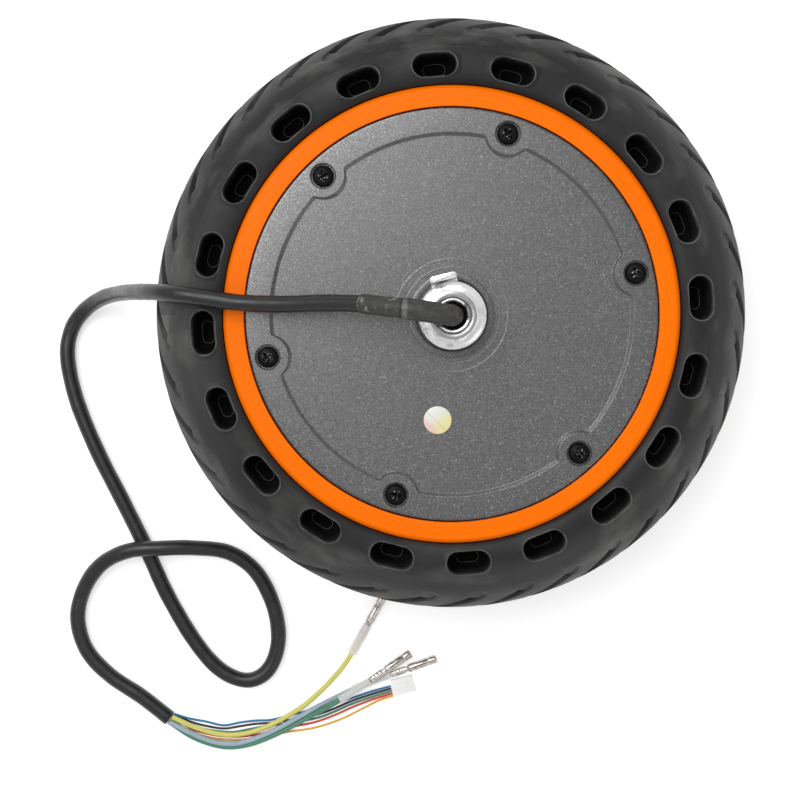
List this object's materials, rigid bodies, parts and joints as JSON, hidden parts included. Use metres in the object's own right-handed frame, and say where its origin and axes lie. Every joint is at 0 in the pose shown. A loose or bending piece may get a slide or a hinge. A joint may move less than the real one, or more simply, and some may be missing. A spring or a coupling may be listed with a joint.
{
  "type": "hub motor wheel",
  "caption": "Scooter wheel with a hub motor inside: solid tyre with side pockets, screwed cover, fixed hollow axle with nuts, and a cable with phase and sensor leads.",
  "frame": {"origin": "the wheel's centre on the axle's axis, midway between the two axle nuts' end faces", "axes": "+Z along the axle to the cable side, which is the front; +X and +Y lie in the wheel's plane, and the cable leaves towards -X"},
  "size_m": [0.26, 0.2807, 0.0989],
  "materials": {
    "tyre": "matte moulded rubber",
    "seal_rubber": "matte",
    "grey_paint": "satin with a fine metallic sparkle",
    "orange_paint": "satin",
    "black_steel": "black zinc, satin",
    "pale_label": "pale round sticker",
    "steel": "turned",
    "zinc": "bright zinc plate",
    "magnet": "nickel plate",
    "lamination": "stacked sheet edges",
    "cast_aluminium": "as cast",
    "copper": "enamelled copper",
    "green_board": "solder mask",
    "black_plastic": "moulded",
    "cable_pvc": "satin jacket",
    "shrink_sleeve": "matte shrink sleeve",
    "wire_yellow": "silicone wire",
    "wire_blue": "silicone wire",
    "wire_green": "silicone wire",
    "wire_red": "thin wire",
    "wire_orange": "thin wire",
    "tinned": "tinned brass",
    "clear_plastic": "clear sleeve",
    "white_nylon": "natural nylon"
  },
  "bodies": {
    "axle": {"axle": "steel", "axle_key": "steel", "stator_core": "lamination", "stator_carrier": "cast_aluminium", "winding_u": "copper", "winding_v": "copper", "winding_w": "copper", "hall_board": "green_board", "hall_sensor_1": "black_plastic", "hall_sensor_2": "black_plastic", "hall_sensor_3": "black_plastic", "front_bearing_inner_ring": "steel", "rear_bearing_inner_ring": "steel", "front_spacer": "steel", "rear_spacer": "steel", "front_tab_washer": "zinc", "rear_tab_washer": "zinc", "front_flange_nut": "zinc", "rear_flange_nut": "zinc", "internal_leads": "cable_pvc", "cable": "cable_pvc", "exit_sleeve": "shrink_sleeve", "worn_sleeve": "shrink_sleeve", "phase_wire_yellow": "wire_yellow", "phase_wire_blue": "wire_blue", "phase_wire_green": "wire_green", "terminal_yellow": "tinned", "terminal_blue": "tinned", "terminal_green": "tinned", "clear_sleeve_yellow": "clear_plastic", "clear_sleeve_blue": "clear_plastic", "clear_sleeve_green": "clear_plastic", "sensor_wire_blue": "wire_blue", "sensor_wire_black": "cable_pvc", "sensor_wire_green": "wire_green", "sensor_wire_red": "wire_red", "sensor_wire_yellow": "wire_orange", "sensor_plug": "white_nylon"},
    "wheel": {"tyre": "tyre", "hub_shell": "grey_paint", "front_cover": "grey_paint", "cover_gasket": "seal_rubber", "front_trim_ring": "orange_paint", "rear_trim_ring": "orange_paint", "cover_screw_1": "black_steel", "cover_screw_2": "black_steel", "cover_screw_3": "black_steel", "cover_screw_4": "black_steel", "cover_screw_5": "black_steel", "cover_screw_6": "black_steel", "inspection_label": "pale_label", "flux_ring": "steel", "magnet_ring": "magnet", "front_bearing_outer_ring": "steel", "rear_bearing_outer_ring": "steel", "front_oil_seal": "seal_rubber", "rear_oil_seal": "seal_rubber"},
    "front_balls": {"front_bearing_balls": "steel"},
    "rear_balls": {"rear_bearing_balls": "steel"}
  },
  "joints": [
    {"name": "wheel_spin", "type": "hinge", "parent": "axle", "child": "wheel", "pos_m": [0, 0, 0], "axis": [0, 0, 1], "continuous": true},
    {"name": "front_balls_spin", "type": "hinge", "parent": "axle", "child": "front_balls", "pos_m": [0, 0, 0.015], "axis": [0, 0, 1], "continuous": true},
    {"name": "rear_balls_spin", "type": "hinge", "parent": "axle", "child": "rear_balls", "pos_m": [0, 0, -0.015], "axis": [0, 0, 1], "continuous": true}
  ],
  "couplings": [
    {"joint": "front_balls_spin", "follows": "wheel_spin", "ratio": 0.58},
    {"joint": "rear_balls_spin", "follows": "wheel_spin", "ratio": 0.58}
  ]
}
